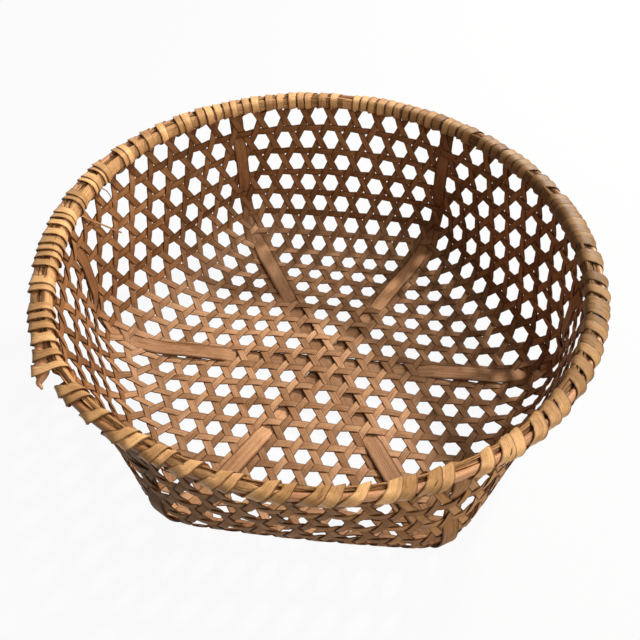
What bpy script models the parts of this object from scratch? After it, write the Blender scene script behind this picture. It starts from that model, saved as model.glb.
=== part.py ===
"""Harvest basket: open hexagonal weave of flat splints, with three slats, five hoops and a bound rim.

Metres, +Z up. The basket stands on z = 0. Run with blender --background --python part.py, or from the
text editor.

The weave is laid out on a surface with two coordinates. A ring number counts rows from the middle of
the base out to the rim. A side number runs clockwise round the basket, seen from above: whole numbers
are the middles of the six sides and halves are the corners.
"""

import math

import bmesh
import bpy
import numpy as np

# Weave
PITCH = 0.028
SPLINTS_PER_SIDE = 9
SPLINT_WIDTH = 0.0075
SPLINT_THICKNESS = 0.0008
LAYER_CLEARANCE = 0.0004

# Slats along the three long diagonals
SLAT_THICKNESS = 0.0012
SLAT_SIDE_CLEARANCE = 0.0008
SLAT_RISE_CLEARANCE = 0.0012

# Hoops that run round the wall
HOOP_COUNT = 5
HOOP_WIDTH = 0.0072
HOOP_THICKNESS = 0.0008

# Base and wall
BEND_RADIUS = 0.076
BEND_START_RING = 6.5
WALL_ANGLE = math.radians(82)
WALL_ROW_HEIGHT = 0.0297
CORNER_RADIUS = 0.065
HEXAGON_TO_ROUND_ROWS = 5
RIM_SIDE_SHIFT = -0.006
RIM_SIDE_SLOPE = -0.027

# Rim
RIM_ROWS_ABOVE_LAST_HOOP = 1.09
RIM_HEIGHT = 0.0155
RIM_INNER_THICKNESS = 0.004
RIM_OUTER_THICKNESS = 0.0065
RIM_EDGE_BEVEL = 0.0019
RIM_EDGE_ANGLE = math.radians(50)
RIM_CLEARANCE = 0.0008

# Binding round the rim
BINDING_WIDTH = 0.0085
BINDING_THICKNESS = 0.0009
BINDING_CORNER = 0.002
BINDING_CELLS_PER_TURN = 2

# Way over which an edge splint turns from its run along the base's edge to its climb
TURN_REACH = 0.015
PATH_STEP = 0.001

# Fineness of the faceted strips: furthest that a flat facet leaves the true surface
SPLINT_TOLERANCE = 0.00035
SLAT_TOLERANCE = 0.0002
HOOP_TOLERANCE = 0.00025
RIM_TOLERANCE = 0.0005
SLAT_COLUMNS = 2

# Places worked out along a strip before its facets are chosen
LEG_PLACES = 240
EDGE_PLACES = 160
SLAT_PLACES = 400
RING_PLACES = 720
FILLER_PLACES = 64
PLACING_ROUNDS = 4
SAME_PLACE = 1e-6
TINY = 1e-9

WOOD_LIGHT = (0.62, 0.40, 0.20, 1)
WOOD_MID = (0.46, 0.27, 0.13, 1)
WOOD_DARK = (0.30, 0.15, 0.07, 1)
WOOD_ROUGHNESS = 0.6

SIDES = 6
SIDE_ANGLE = math.tau / SIDES
ROW_SPACING = PITCH * math.cos(math.pi / SIDES)
SLAT_WIDTH = ROW_SPACING - SPLINT_WIDTH - 2 * SLAT_SIDE_CLEARANCE

# Layers of the weave, counted outward. The middle of the base has layers 0 to 2, one for each direction
LAYER = SLAT_THICKNESS + LAYER_CLEARANCE
FLOOR_LAYER = 2
HOOP_LAYER = FLOOR_LAYER + 1
SLAT_BASE_LAYER = -1
SLAT_WALL_LAYER = -2

CELLS_ROUND = SIDES * SPLINTS_PER_SIDE
LAST_HOOP_RING = SPLINTS_PER_SIDE + HOOP_COUNT - 0.5
RIM_RING = LAST_HOOP_RING + RIM_ROWS_ABOVE_LAST_HOOP

# Slot between the rim's rings, the cane that closes it, and the splints' ends below the cane
RIM_SLOT = (FLOOR_LAYER - SLAT_WALL_LAYER) * LAYER + SLAT_THICKNESS + 2 * RIM_CLEARANCE
FILLER_RADIUS = RIM_SLOT / 2 - RIM_CLEARANCE
SPLINT_END_DEPTH = 2 * FILLER_RADIUS + RIM_CLEARANCE + SPLINT_WIDTH / 2
SPLINT_END_RING = RIM_RING + (RIM_HEIGHT / 2 - SPLINT_END_DEPTH) / WALL_ROW_HEIGHT

# Rows over which the spacing of the rings, and the number of cells in a ring, change to those of the wall
SPACING_BLEND_ROWS = 3
COUNT_BLEND_ROWS = 1
CORNER_BLEND_ROWS = 1.5

# A strip that leans anticlockwise moves one layer in on its way through the row above the base's edge
LAYER_CHANGE_START = SPLINTS_PER_SIDE - 0.25
LAYER_CHANGE_END = SPLINTS_PER_SIDE + 0.65

# A slat passes up between the splints in the middle of one cell, and draws in again below the base's edge
SLAT_RISE_RING = 4
SLAT_DRAW_IN_START = SPLINTS_PER_SIDE - 1
SLAT_CROSSING_REACH = SLAT_WIDTH / 2 / math.tan(SIDE_ANGLE) + SPLINT_WIDTH / 2 / math.sin(SIDE_ANGLE)

# Outermost rows of splints that are joined three to a node where they cross at the corners
JOINED_ROWS = 2
PEG_WIDTH = 0.003

INTO = 1
OUT_OF = -1


def clear_scene():
    for obj in list(bpy.data.objects):
        bpy.data.objects.remove(obj)


def make_collections():
    basket = bpy.data.collections.new("harvest_basket")
    helpers = bpy.data.collections.new("helpers")
    helpers.hide_render = True
    bpy.context.scene.collection.children.link(basket)
    bpy.context.scene.collection.children.link(helpers)
    return basket, helpers


def ramp(x):
    return np.clip(x, 0, 1)


def cells_in_side(ring):
    """Cells along one side of a ring: the ring's own number on the base, and constant up the wall."""
    past = np.clip(ring - SPLINTS_PER_SIDE + COUNT_BLEND_ROWS, 0, 2 * COUNT_BLEND_ROWS)
    beyond = np.maximum(ring - SPLINTS_PER_SIDE - COUNT_BLEND_ROWS, 0)
    return ring - past**2 / (4 * COUNT_BLEND_ROWS) - beyond


def ring_of_row(row):
    """Ring on which the straight run of a splint lies, so that it meets its own ends at the corners."""
    past = row - SPLINTS_PER_SIDE + COUNT_BLEND_ROWS
    if past <= 0:
        return row
    reach = 4 * COUNT_BLEND_ROWS
    return row - past + reach - math.sqrt(reach**2 - 2 * reach * past)


def profile(ring):
    """Distance of a side's middle from the axis, and height, of the base, the bend and the wall."""
    past = np.clip(ring - BEND_START_RING, 0, SPACING_BLEND_ROWS)
    beyond = np.maximum(ring - BEND_START_RING - SPACING_BLEND_ROWS, 0)
    stretched = past**2 / (2 * SPACING_BLEND_ROWS) + beyond
    length = ROW_SPACING * ring + (WALL_ROW_HEIGHT - ROW_SPACING) * stretched
    flat = ROW_SPACING * BEND_START_RING
    turned = np.clip((length - flat) / BEND_RADIUS, 0, WALL_ANGLE)
    straight = np.maximum(length - flat - BEND_RADIUS * WALL_ANGLE, 0)
    across = np.minimum(length, flat) + BEND_RADIUS * np.sin(turned) + straight * math.cos(WALL_ANGLE)
    height = BEND_RADIUS * (1 - np.cos(turned)) + straight * math.sin(WALL_ANGLE)
    return across, height


def outline(side, ring):
    """Unit outline of a ring: a hexagon on the base, with rounded corners, that becomes a circle."""
    middle = np.round(side)
    along = side - middle
    angle = math.pi / 2 - SIDE_ANGLE * middle
    out = np.stack([np.cos(angle), np.sin(angle)], -1)
    clockwise = np.stack([np.sin(angle), -np.cos(angle)], -1)
    side_length = 2 * math.tan(SIDE_ANGLE / 2)
    hexagon = out + (side_length * along)[:, None] * clockwise
    grown = ramp((ring - BEND_START_RING) / CORNER_BLEND_ROWS)
    reach = CORNER_RADIUS * SIDE_ANGLE / 2 / (PITCH * SPLINTS_PER_SIDE) * grown + TINY
    into = np.maximum(reach - (0.5 - np.abs(along)), 0)
    corner_angle = angle - np.sign(along) * SIDE_ANGLE / 2
    inward = -np.stack([np.cos(corner_angle), np.sin(corner_angle)], -1)
    hexagon = hexagon + (side_length * into**2 / (4 * reach))[:, None] * inward
    turn = SIDE_ANGLE * along
    circle = np.cos(turn)[:, None] * out + np.sin(turn)[:, None] * clockwise
    roundness = ramp((ring - SPLINTS_PER_SIDE) / HEXAGON_TO_ROUND_ROWS)[:, None]
    return (1 - roundness) * hexagon + roundness * circle


def surface(ring, side):
    """Points of the outer face of the weave, with the rim a little to one side and lower on the other."""
    across, height = profile(ring)
    flat = outline(side, ring) * across[:, None]
    rise = height / profile(np.array([RIM_RING]))[1][0]
    x = flat[:, 0] + RIM_SIDE_SHIFT * rise
    z = height + RIM_SIDE_SLOPE * rise * flat[:, 0]
    return np.stack([x, flat[:, 1], z], -1)


def frame_at(ring, side):
    """The two surface directions for one ring and one side number, and the outward normal."""
    step = 1e-4
    by_ring = (surface(ring + step, side) - surface(ring - step, side)) / (2 * step)
    by_side = (surface(ring, side + step) - surface(ring, side - step)) / (2 * step)
    normal = np.cross(by_ring, by_side)
    return by_ring, by_side, normal / np.linalg.norm(normal, axis=1)[:, None]


def steps_along(by_ring, by_side, move):
    """Steps of ring and side number that make the moves, or as near as the surface allows."""
    a = (by_ring * by_ring).sum(1)
    b = (by_ring * by_side).sum(1)
    c = (by_side * by_side).sum(1)
    p = (by_ring * move).sum(1)
    q = (by_side * move).sum(1)
    area = a * c - b * b
    return (c * p - b * q) / area, (a * q - b * p) / area


def strip_rows(ring, side, layer, width, columns):
    """Points across a strip at each place of its path, on its own layer: array (places, columns + 1, 3)."""
    normal = frame_at(ring, side)[2]
    centre = surface(ring, side)
    sideways = np.cross(normal, np.gradient(centre, axis=0))
    sideways /= np.linalg.norm(sideways, axis=1)[:, None]
    offset = (layer - FLOOR_LAYER)[:, None] * LAYER
    rows = []
    for share in np.linspace(-0.5, 0.5, columns + 1):
        at_ring = ring
        at_side = side
        for _ in range(PLACING_ROUNDS):
            by_ring, by_side, normal = frame_at(at_ring, at_side)
            move = centre + width * share * sideways - surface(at_ring, at_side)
            ring_step, side_step = steps_along(by_ring, by_side, move)
            at_ring = at_ring + ring_step
            at_side = at_side + side_step
        rows.append(surface(at_ring, at_side) + frame_at(at_ring, at_side)[2] * offset)
    return np.stack(rows, 1)


def facet_error(rows, first, last):
    """Furthest that the rows between two places lie from the straight facet that joins those places."""
    chord = rows[last] - rows[first]
    inside = rows[first + 1:last] - rows[first]
    share = np.clip(inside @ chord / (chord @ chord), 0, 1)
    away = (inside - share[:, None] * chord).reshape(len(inside), -1, 3)
    return np.linalg.norm(away, axis=2).max()


def kept_places(rows, tolerance):
    """Indices of the fewest rows in turn that keep the others within the tolerance of the facets."""
    flat = rows.reshape(len(rows), -1)
    last = len(flat) - 1
    kept = [0]
    while kept[-1] < last:
        end = kept[-1] + 1
        while end < last and facet_error(flat, kept[-1], end + 1) <= tolerance:
            end += 1
        kept.append(end)
    return kept


def material(name, colour):
    made = bpy.data.materials.new(name)
    made.use_nodes = True
    shader = made.node_tree.nodes["Principled BSDF"]
    shader.inputs["Base Color"].default_value = colour
    shader.inputs["Roughness"].default_value = WOOD_ROUGHNESS
    shader.inputs["Metallic"].default_value = 0
    return made


def ribbon(name, rows, thickness, growth, colour, collection):
    """A strip through the rows of points, as a grid with a Solidify modifier.

    The grid faces into the basket, and growth is INTO or OUT_OF for the side on which it gets its thickness.
    """
    places, columns = rows.shape[:2]
    grid = bmesh.new()
    bmesh.ops.create_grid(grid, x_segments=columns - 1, y_segments=places - 1, size=1)
    grid.verts.ensure_lookup_table()
    for vert, point in zip(grid.verts, rows.reshape(-1, 3)):
        vert.co = point
    if np.allclose(rows[0], rows[-1], atol=SAME_PLACE):
        bmesh.ops.remove_doubles(grid, verts=grid.verts, dist=SAME_PLACE)
    mesh = bpy.data.meshes.new(name)
    grid.to_mesh(mesh)
    grid.free()
    obj = bpy.data.objects.new(name, mesh)
    collection.objects.link(obj)
    solid = obj.modifiers.new("thickness", "SOLIDIFY")
    solid.thickness = thickness
    solid.offset = growth
    mesh.materials.append(material(name, colour))
    return obj


def splint_path(direction, row):
    """Ring, side and layer along one splint: down one wall, straight over the base and up another."""
    first = max(ring_of_row(row), BEND_START_RING)
    leg = np.linspace(first, SPLINT_END_RING, LEG_PLACES)
    shift = (leg / 2 - row) / cells_in_side(leg)
    own_layer = direction % 3
    moved = ramp((leg - LAYER_CHANGE_START) / (LAYER_CHANGE_END - LAYER_CHANGE_START))
    rings = [leg[::-1]]
    sides = [(direction - 1 - shift)[::-1]]
    layers = [(own_layer - moved)[::-1]]
    if row > BEND_START_RING:
        run = np.linspace(direction - 0.5, direction + 0.5, EDGE_PLACES + 1)[1:-1]
        rings.append(np.full(len(run), first))
        sides.append(run)
        layers.append(np.full(len(run), float(own_layer)))
    rings.append(leg)
    sides.append(direction + 1 + shift)
    layers.append(np.full(len(leg), float(own_layer)))
    path = np.stack([np.concatenate(rings), np.concatenate(sides), np.concatenate(layers)])
    return eased(path) if row > BEND_START_RING else path


def eased(path):
    """The same path in even steps, with each turn spread over a short way to both sides."""
    points = surface(path[0], path[1])
    travelled = np.concatenate([[0], np.cumsum(np.linalg.norm(np.diff(points, axis=0), axis=1))])
    places = int(travelled[-1] / PATH_STEP)
    even = np.linspace(0, travelled[-1], places)
    path = np.stack([np.interp(even, travelled, values) for values in path])
    reach = round(TURN_REACH / PATH_STEP)
    ends = np.minimum(np.arange(places), np.arange(places)[::-1])
    half = np.minimum(ends, reach)
    totals = np.concatenate([np.zeros((3, 1)), np.cumsum(path, axis=1)], axis=1)
    low = np.arange(places) - half
    high = np.arange(places) + half + 1
    return (totals[:, high] - totals[:, low]) / (high - low)


def splint_rows(direction, row):
    rings, sides, layers = splint_path(direction, row)
    rows = strip_rows(rings, sides, layers, SPLINT_WIDTH, 1)
    return rows[kept_places(rows, SPLINT_TOLERANCE)]


def make_splint(name, direction, row, collection):
    rows = splint_rows(direction, row)
    return ribbon(name, rows, SPLINT_THICKNESS, INTO, WOOD_MID, collection)


def corner_peg(name, direction, row, helpers):
    """A small block in the crossing of two neighbouring splints at the corner between their sides."""
    ring = np.array([ring_of_row(row)])
    side = np.array([direction + 0.5])
    by_ring, _, normal = frame_at(ring, side)
    layers = sorted([direction % 3, (direction + 1) % 3])
    middle = (layers[0] + layers[1]) / 2 - FLOOR_LAYER
    centre = surface(ring, side)[0] + normal[0] * (middle * LAYER - SPLINT_THICKNESS / 2)
    up = by_ring[0] / np.linalg.norm(by_ring[0])
    across = np.cross(up, normal[0])
    block = bmesh.new()
    bmesh.ops.create_cube(block, size=1)
    for vert in block.verts:
        x, y, z = vert.co
        vert.co = centre + PEG_WIDTH * (x * across + y * up) + LAYER * z * normal[0]
    mesh = bpy.data.meshes.new(name)
    bmesh.ops.recalc_face_normals(block, faces=block.faces)
    block.to_mesh(mesh)
    block.free()
    obj = bpy.data.objects.new(name, mesh)
    obj.hide_render = True
    obj.display_type = "WIRE"
    helpers.objects.link(obj)
    return obj


def join_to(obj, other):
    union = obj.modifiers.new("join " + other.name, "BOOLEAN")
    union.operation = "UNION"
    union.solver = "EXACT"
    union.object = other


def make_joined_splints(name, first, row, collection, helpers):
    """Three neighbouring splints of one row, joined where they cross at the two corners between them."""
    whole = make_splint(name, first, row, collection)
    for step in (1, 2):
        part = make_splint(f"{name}_part_{step}", first + step, row, helpers)
        part.hide_render = True
        part.display_type = "WIRE"
        peg = corner_peg(f"{name}_peg_{step}", first + step - 1, row, helpers)
        join_to(whole, peg)
        join_to(whole, part)
    return whole


def make_splints(collection, helpers):
    for number in range(SPLINTS_PER_SIDE):
        row = number + 0.5
        if number >= SPLINTS_PER_SIDE - JOINED_ROWS:
            for first in (0, 3):
                name = f"edge_splints_{number + 1}_{'north' if first == 0 else 'south'}"
                make_joined_splints(name, first, row, collection, helpers)
            continue
        for direction in range(SIDES):
            make_splint(f"splint_{'abcdef'[direction]}{number + 1}", direction, row, collection)


def slat_layers(ring, own_layer):
    """A slat rises through one cell of the base to its inner face, and stays innermost up the wall."""
    half_free = 0.5 - (SLAT_CROSSING_REACH + SLAT_RISE_CLEARANCE) / PITCH
    risen = ramp((ring - SLAT_RISE_RING + half_free) / (2 * half_free))
    drawn_in = ramp((ring - SLAT_DRAW_IN_START) / (LAYER_CHANGE_START - SLAT_DRAW_IN_START))
    return own_layer + risen * (SLAT_BASE_LAYER - own_layer) + drawn_in * (SLAT_WALL_LAYER - SLAT_BASE_LAYER)


def make_slats(collection):
    """Three wide slats, each from corner to corner across the middle of the base and up both walls."""
    leg = np.linspace(SLAT_RISE_RING - 1, SPLINT_END_RING, SLAT_PLACES)
    for own_layer in range(3):
        layer = slat_layers(leg, own_layer)
        halves = []
        for side in (own_layer - 1.5, own_layer + 1.5):
            rows = strip_rows(leg, np.full(len(leg), side), layer, SLAT_WIDTH, SLAT_COLUMNS)
            halves.append(rows[kept_places(rows, SLAT_TOLERANCE)])
        rows = np.concatenate([halves[0][::-1, ::-1], halves[1]])
        ribbon(f"slat_{'abc'[own_layer]}", rows, SLAT_THICKNESS, INTO, WOOD_MID, collection)


def ring_rows(ring, layer, width, tolerance):
    """Points of a band that lies along one ring of the weave, all the way round."""
    side = np.linspace(0, SIDES, RING_PLACES + 1)
    rows = strip_rows(np.full(len(side), ring), side, np.full(len(side), layer), width, 1)
    rows[-1] = rows[0]
    return rows[kept_places(rows, tolerance)]


def make_hoops(collection):
    for number in range(HOOP_COUNT):
        ring = SPLINTS_PER_SIDE + number + 0.5
        rows = ring_rows(ring, float(HOOP_LAYER), HOOP_WIDTH, HOOP_TOLERANCE)
        ribbon(f"hoop_{number + 1}", rows, HOOP_THICKNESS, INTO, WOOD_DARK, collection)


def rim_faces():
    """Distances out from the floor layer's face: outer face of the inner ring, inner face of the outer."""
    outside = RIM_CLEARANCE
    return outside - RIM_SLOT, outside


def bevelled(obj):
    rounding = obj.modifiers.new("rounded edges", "BEVEL")
    rounding.width = RIM_EDGE_BEVEL
    rounding.segments = 1
    rounding.limit_method = "ANGLE"
    rounding.angle_limit = RIM_EDGE_ANGLE


def make_rim(collection):
    inside, outside = rim_faces()
    inner = ring_rows(RIM_RING, FLOOR_LAYER + inside / LAYER, RIM_HEIGHT, RIM_TOLERANCE)
    bevelled(ribbon("rim_inner_ring", inner, RIM_INNER_THICKNESS, INTO, WOOD_MID, collection))
    outer = ring_rows(RIM_RING, FLOOR_LAYER + outside / LAYER, RIM_HEIGHT, RIM_TOLERANCE)
    bevelled(ribbon("rim_outer_ring", outer, RIM_OUTER_THICKNESS, OUT_OF, WOOD_DARK, collection))


def make_filler(collection):
    """A round cane that closes the slot between the two rim rings, above the ends of the splints."""
    ring = RIM_RING + (RIM_HEIGHT / 2 - FILLER_RADIUS) / WALL_ROW_HEIGHT
    side = np.linspace(0, SIDES, FILLER_PLACES, endpoint=False)
    rings = np.full(len(side), ring)
    points = surface(rings, side) + frame_at(rings, side)[2] * sum(rim_faces()) / 2
    curve = bpy.data.curves.new("rim_filler_cane", "CURVE")
    curve.dimensions = "3D"
    curve.bevel_depth = FILLER_RADIUS
    curve.bevel_resolution = 1
    line = curve.splines.new("POLY")
    line.points.add(len(points) - 1)
    for place, point in zip(line.points, points):
        place.co = (*point, 1)
    line.use_cyclic_u = True
    obj = bpy.data.objects.new("rim_filler_cane", curve)
    curve.materials.append(material("rim_filler_cane", WOOD_LIGHT))
    collection.objects.link(obj)


def binding_loop():
    """One turn round the rim's section: steps across and up, and how far along to the next turn."""
    inside, outside = rim_faces()
    low = inside - RIM_INNER_THICKNESS - RIM_CLEARANCE
    high = outside + RIM_OUTER_THICKNESS + RIM_CLEARANCE
    half = RIM_HEIGHT / 2 + RIM_CLEARANCE
    cut = BINDING_CORNER
    corners = [
        (high - cut, -half), (low + cut, -half), (low, -half + cut), (low, half - cut),
        (low + cut, half), (high - cut, half), (high, half - cut), (high, -half + cut),
    ]
    lengths = [0.0]
    for before, after in zip(corners[1:], corners[2:] + corners[:1]):
        lengths.append(lengths[-1] + math.dist(before, after))
    return corners, [0.0] + [length / lengths[-1] for length in lengths[:-1]]


def make_binding(collection):
    """One long splint wound round the rim, through a cell of the top row at each turn."""
    corners, advance = binding_loop()
    turns = CELLS_ROUND // BINDING_CELLS_PER_TURN
    step = BINDING_CELLS_PER_TURN / SPLINTS_PER_SIDE
    start = 1 / SPLINTS_PER_SIDE
    rows = []
    for turn in range(turns):
        for (across, up), share in zip(corners, advance):
            side = np.array([start + (turn + share) * step])
            by_ring, by_side, normal = frame_at(np.array([RIM_RING]), side)
            upward = by_ring[0] / np.linalg.norm(by_ring[0])
            round_rim = by_side[0] / np.linalg.norm(by_side[0])
            centre = surface(np.array([RIM_RING]), side)[0] + normal[0] * across + upward * up
            half = round_rim * BINDING_WIDTH / 2
            rows.append([centre - half, centre + half])
    rows = np.array(rows[:-1])
    print("least gap of the binding to itself, mm:", round(1000 * gap_to_itself(rows, len(corners)), 1))
    ribbon("rim_binding", rows, BINDING_THICKNESS, INTO, WOOD_LIGHT, collection)


def gap_to_itself(rows, per_turn):
    """Least distance between the middles of points at least half a turn apart, less the band's width."""
    middles = rows.mean(1)
    away = np.linalg.norm(middles[:, None] - middles[None], axis=2)
    apart = np.abs(np.subtract.outer(np.arange(len(middles)), np.arange(len(middles))))
    return away[apart >= per_turn - 1].min() - BINDING_WIDTH


def main():
    clear_scene()
    basket, helpers = make_collections()
    make_splints(basket, helpers)
    make_slats(basket)
    make_hoops(basket)
    make_rim(basket)
    make_filler(basket)
    make_binding(basket)


main()
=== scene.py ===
"""Harvest basket: the looks of its woven splints, slats, hoops and bound rim, in a plain studio.

The pieces are worked out on the same curved surface as the solids. A ring number counts rows of the weave
from the middle of the base out to the rim. A side number runs clockwise round the basket, seen from above:
whole numbers are the middles of the six sides and halves are the corners.
"""

import math

import bpy
import numpy as np
from bpy.props import FloatProperty, FloatVectorProperty, IntProperty, PointerProperty
from mathutils import Euler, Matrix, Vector


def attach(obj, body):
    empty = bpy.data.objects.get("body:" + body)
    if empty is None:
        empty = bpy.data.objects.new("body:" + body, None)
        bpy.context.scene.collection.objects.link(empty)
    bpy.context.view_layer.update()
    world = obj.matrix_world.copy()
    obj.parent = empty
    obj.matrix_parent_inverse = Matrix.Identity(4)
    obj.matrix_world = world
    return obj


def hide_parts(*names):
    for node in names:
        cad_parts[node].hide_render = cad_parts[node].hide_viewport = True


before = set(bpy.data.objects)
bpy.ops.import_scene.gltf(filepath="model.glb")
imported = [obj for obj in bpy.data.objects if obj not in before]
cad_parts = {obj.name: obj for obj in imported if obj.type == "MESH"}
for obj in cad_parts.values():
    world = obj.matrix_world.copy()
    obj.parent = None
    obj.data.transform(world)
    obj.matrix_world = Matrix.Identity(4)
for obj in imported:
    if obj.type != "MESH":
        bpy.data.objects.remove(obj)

bl_info = {
    "name": "Harvest Basket",
    "version": (1, 0, 0),
    "blender": (4, 5, 0),
    "location": "View3D > Sidebar > Basket",
    "description": "Makes an open hexagonal-weave harvest basket with a bound rim",
    "category": "Add Mesh",
}

# Surface of the basket, as in the solids
PITCH = 0.028
SIDES = 6
SIDE_ANGLE = math.tau / SIDES
SPLINTS_PER_SIDE = 9
ROW_SPACING = PITCH * math.cos(math.pi / SIDES)
BEND_RADIUS = 0.076
BEND_START_RING = 6.5
WALL_ANGLE = math.radians(82)
WALL_ROW_HEIGHT = 0.0297
CORNER_RADIUS = 0.065
HEXAGON_TO_ROUND_ROWS = 5
RIM_SIDE_SHIFT = -0.006
RIM_SIDE_SLOPE = -0.027
SPACING_BLEND_ROWS = 3
COUNT_BLEND_ROWS = 1
CORNER_BLEND_ROWS = 1.5
HOOP_COUNT = 5
RIM_RING = 14.59
SPLINT_END_RING = 14.55

# Section of the bound rim where it is thickest: its edges across the wall, and half its height
RIM_OUTER_EDGE = 0.0078
RIM_INNER_EDGE = -0.0129
RIM_HALF_HEIGHT = 0.0083
# Width and height of the rim as shares of its largest, at each half side clockwise from the far side's middle
RIM_WIDTHS = (0.80, 0.80, 0.82, 0.85, 0.78, 0.62, 0.56, 0.60, 0.84, 1.00, 0.96, 0.88)
RIM_HEIGHTS = (0.80, 0.80, 0.80, 0.82, 0.76, 0.68, 0.66, 0.68, 0.82, 0.95, 0.92, 0.85)
RIM_EASING_SHIFTS = (-0.16, -0.08, 0, 0.08, 0.16)
# Lowest level that keeps its place where the rim is less high, as a share of its half height
LOWEST_STILL_LEVEL = -0.1
CANE_SINK = 0.0006

# The wall and rim bulge a little round one place, where the outer cane is broken. Cells count clockwise round
# the rim from the far side's middle. The broken end springs out, and the cane goes on at another cell.
BULGE_CELL = 34.4
BULGE_CELLS = 4.6
BULGE_SIZE = 0.0066
BULGE_START_RING = 8.5
BREAK_CELL = 33.95
BREAK_EASING_CELLS = 0.3
CANE_GOES_ON_CELL = 33.55
SPRING_START_CELL = 35.4
SPRING_SIZE = 0.017
SPRING_CURVE = 1.5

# Depth of the middle of the weave below the surface: on the walls, and on the base away from its middle. Here
# and below, a change over rings has the ring where it starts and the number of rings that it takes.
WALL_MIDDLE_DEPTH = 0.0020
BASE_MIDDLE_DEPTH = 0.0014
WALL_DEPTH_RINGS = (6, 3)
# Rise of the weave over the slats that cross beneath it
CROWN_RISE = 0.0022
CROWN_RINGS = (0.7, 1.5)
SLAT_RISE = 0.0034
SLAT_RISE_RINGS = (3.4, 1.4)

# Flat strips: spacing of their stations, shares of the width across the section, lift of its edges
STATION_STEP = 0.0022
LATERAL_SHARES = (-0.5, -0.45, -0.28, 0.28, 0.45, 0.5)
EDGE_LIFT = 0.36
PLACING_ROUNDS = 3
SHARP_ANGLE = math.radians(40)
TINY = 1e-9
# Random shift of the grain map in metres, so that no two splints have the same grain
GRAIN_SPREAD = 40

# Splints: places on each leg and run of the line, length over which bends are eased, slow random changes of
# place and width, and the rings of the taper
LEG_PLACES = 400
RUN_PLACES = 241
BEND_EASING = 0.012
WAVE_SPREAD = (0.5, 1.5)
WANDER_WAVELENGTH = 0.16
WIDTH_WAVELENGTH = 0.09
WIDTH_CHANGE = 0.05
TAPER_RINGS = (5, 8)

# Hoops: reach of each wave round the wall and the number of its cycles
HOOP_PLACES = 720
HOOP_WAVES = ((0.0006, 3), (0.0005, 7))
HOOP_WIDTH_WAVE = (0.04, 5)

# Slats: name, corner where each starts, place in the stack, shift to the right of its line, and brightness,
# which is painted light and shade on each slat
SLATS = (
    ("slat_a", -1.5, 1, -0.0009, 1.08),
    ("slat_b", -0.5, 2, 0.0, 0.95),
    ("slat_c", 0.5, 0, 0.0, 1.40),
)
# Rings at which a slat changes sides of the weave, through the middle of a cell: 1 inwards and -1 outwards
SLAT_CHANGES = ((4.0, 1), (8.0, -1), (11.0, 1), (13.0, -1))
SLAT_CHANGE_REACH = 0.42
SLAT_GAP = 0.0002
SLAT_START_RING = 0.04
SLAT_PLACES = 330
SLAT_WIDTH_CHANGE = 0.025
SLAT_WIDTH_TURN = 22
SLAT_TAPER_RINGS = (8, 2)
STACK_RINGS = (0.5, 1.5)
# Edge value, and so painted shade, of slats that the weave covers: the lowest slat's, and how much less the
# next's
COVERED_SHADE = 0.92
COVERED_SHADE_STEP = 0.06
COVERED_SHADE_RINGS = (2.5, 1.5)

# Canes of the rim: share and length in cells of the broken tip, how far it comes off with the spring, size of
# the grain across, and small waves round the rim, each with its reach and numbers of cycles
OUTER_CANE_PLACES = 701
OUTER_CANE_FACETS = 16
TIP_SHARE = 0.3
TIP_CELLS = 0.5
LOOSE_TIP_SHARE = 0.72
OUTER_CANE_GRAIN = 0.004
OUTER_CANE_WAVES = (0.06, (3, 5, 11))
INNER_CANE_PLACES = 541
INNER_CANE_GRAIN = 0.012
INNER_CANE_WAVES = (0.0004, (2, 5, 9))
INNER_CANE_RISES = (0.0008, (3, 4, 8))
HALF_ROUND_POWER = 0.7
HALF_ROUND_FLAT = 0.2

# Filler splints: section, widths, tilt, share of the room between the canes, height, fall towards the outer
# cane where the rim is narrow, and waves
FILLER_PLACES = 721
FILLER_SHARES = (-0.5, -0.3, 0.3, 0.5)
FILLER_EDGE_LIFT = 0.2
FILLER_THICKNESS = 0.0009
FILLER_WIDTHS = (0.0024, 0.0040)
FILLER_TILTS = (-0.3, 0.3)
FILLER_SPAN = 0.9
FILLER_HEIGHT = 0.0056
FILLER_FALL = 0.014
FILLER_WAVES = (0.0020, (5, 9, 14, 23))
FILLER_RISES = (0.0034, (4, 7, 15, 26))
FILLER_LEANS = (1.1, (3, 8, 13))

# Loosened bits of filler splint on top of the rim: cells and lengths, then their feet and arch across and up
# from the rim's outer top edge, and the lean, width at the ends, swell, crown and grain of each
LEAVES = ((28.02, 0.020), (28.98, 0.022), (29.80, 0.018), (36.75, 0.014))
LEAF_PLACES = 25
LEAF_FEET = (-0.0088, -0.0012)
LEAF_ARCH = (0.0016, 0.0022)
LEAF_LEAN = 0.45
LEAF_END_WIDTH = 0.0016
LEAF_SWELL = 0.0052
LEAF_CROWN = 0.0003
LEAF_GRAIN = 0.006
# Loose strands inside the wall: ring and side numbers of their places, width and depth below the outer face
LOOSE_STRANDS = (
    ((14.3, 13.4, 12.3), (4.57, 4.66, 4.765), 0.0018, 0.0052),
    ((14.4, 13.95, 13.3), (4.735, 4.778, 4.776), 0.0010, 0.0060),
)
STRAND_THICKNESS = 0.0006
STRAND_PLACES = 61
STRAND_EASING = 14

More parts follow.
